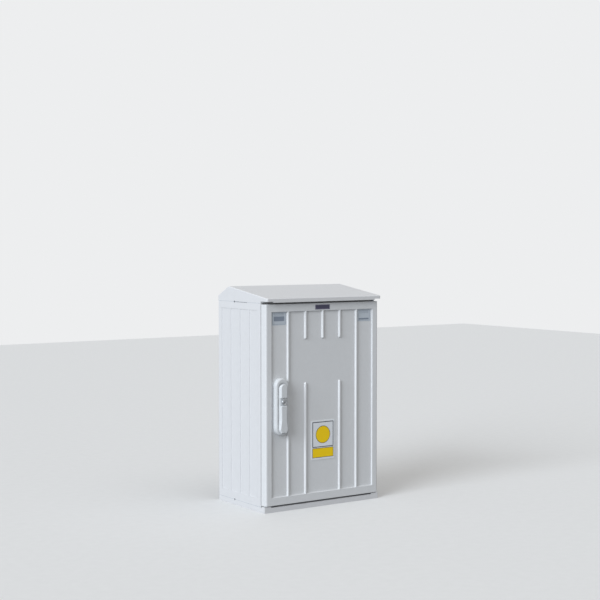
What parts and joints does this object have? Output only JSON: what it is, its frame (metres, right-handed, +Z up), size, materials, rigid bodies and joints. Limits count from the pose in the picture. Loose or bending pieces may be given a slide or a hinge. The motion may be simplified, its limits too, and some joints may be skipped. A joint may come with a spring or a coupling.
{
  "type": "thermoset enclosure",
  "caption": "Free-standing moulded thermoset enclosure with pitched roof, ribbed side-hung door on corner pivots, swing handle with lock, and open cable entry in its base.",
  "frame": {"origin": "middle of the base's underside, at the middle of the foundation bolts", "axes": "+X to the right seen from the door, +Y to the rear, +Z up"},
  "size_m": [0.4, 0.2756, 0.633],
  "materials": {
    "thermoset": "moulded, satin",
    "thermoset_door": "moulded, satin",
    "seal_rubber": "matte",
    "brass": "turned",
    "steel": "zinc plated",
    "bush_plastic": "matte",
    "handle_plastic": "moulded, satin",
    "zinc": "die cast",
    "case_plastic": "matte",
    "chrome": "polished"
  },
  "bodies": {
    "cabinet": {"base_tray": "thermoset", "left_wall": "thermoset", "right_wall": "thermoset", "rear_wall": "thermoset", "mounting_inserts": "brass", "bottom_rail": "thermoset", "top_rail": "thermoset", "door_seal": "seal_rubber", "roof": "thermoset", "pivot_pin_lower": "steel", "pivot_pin_upper": "steel"},
    "door": {"door_leaf": "thermoset_door", "pivot_bush_lower": "bush_plastic", "pivot_bush_upper": "bush_plastic", "handle_base": "handle_plastic", "lock_case": "case_plastic", "lock_rod_upper": "steel", "lock_rod_lower": "steel", "rod_guide_upper": "case_plastic", "rod_guide_lower": "case_plastic"},
    "hub": {"handle_hub": "zinc"},
    "lever": {"handle_lever": "handle_plastic", "cross_pin": "steel", "lock_barrel": "chrome"},
    "plug": {"key_plug": "chrome"}
  },
  "joints": [
    {"name": "door_swing", "type": "hinge", "parent": "cabinet", "child": "door", "pos_m": [0.187, -0.117, 0.3], "axis": [0, 0, 1], "range_deg": [0, 120]},
    {"name": "handle_turn", "type": "hinge", "parent": "door", "child": "hub", "pos_m": [-0.148, -0.1385, 0.353], "axis": [0, -1, 0], "range_deg": [0, 90]},
    {"name": "lever_tilt", "type": "hinge", "parent": "hub", "child": "lever", "pos_m": [-0.148, -0.1426, 0.353], "axis": [-1, 0, 0], "range_deg": [0, 30]},
    {"name": "key_turn", "type": "hinge", "parent": "lever", "child": "plug", "pos_m": [-0.148, -0.1475, 0.3132], "axis": [0, -1, 0], "range_deg": [0, 90]}
  ]
}
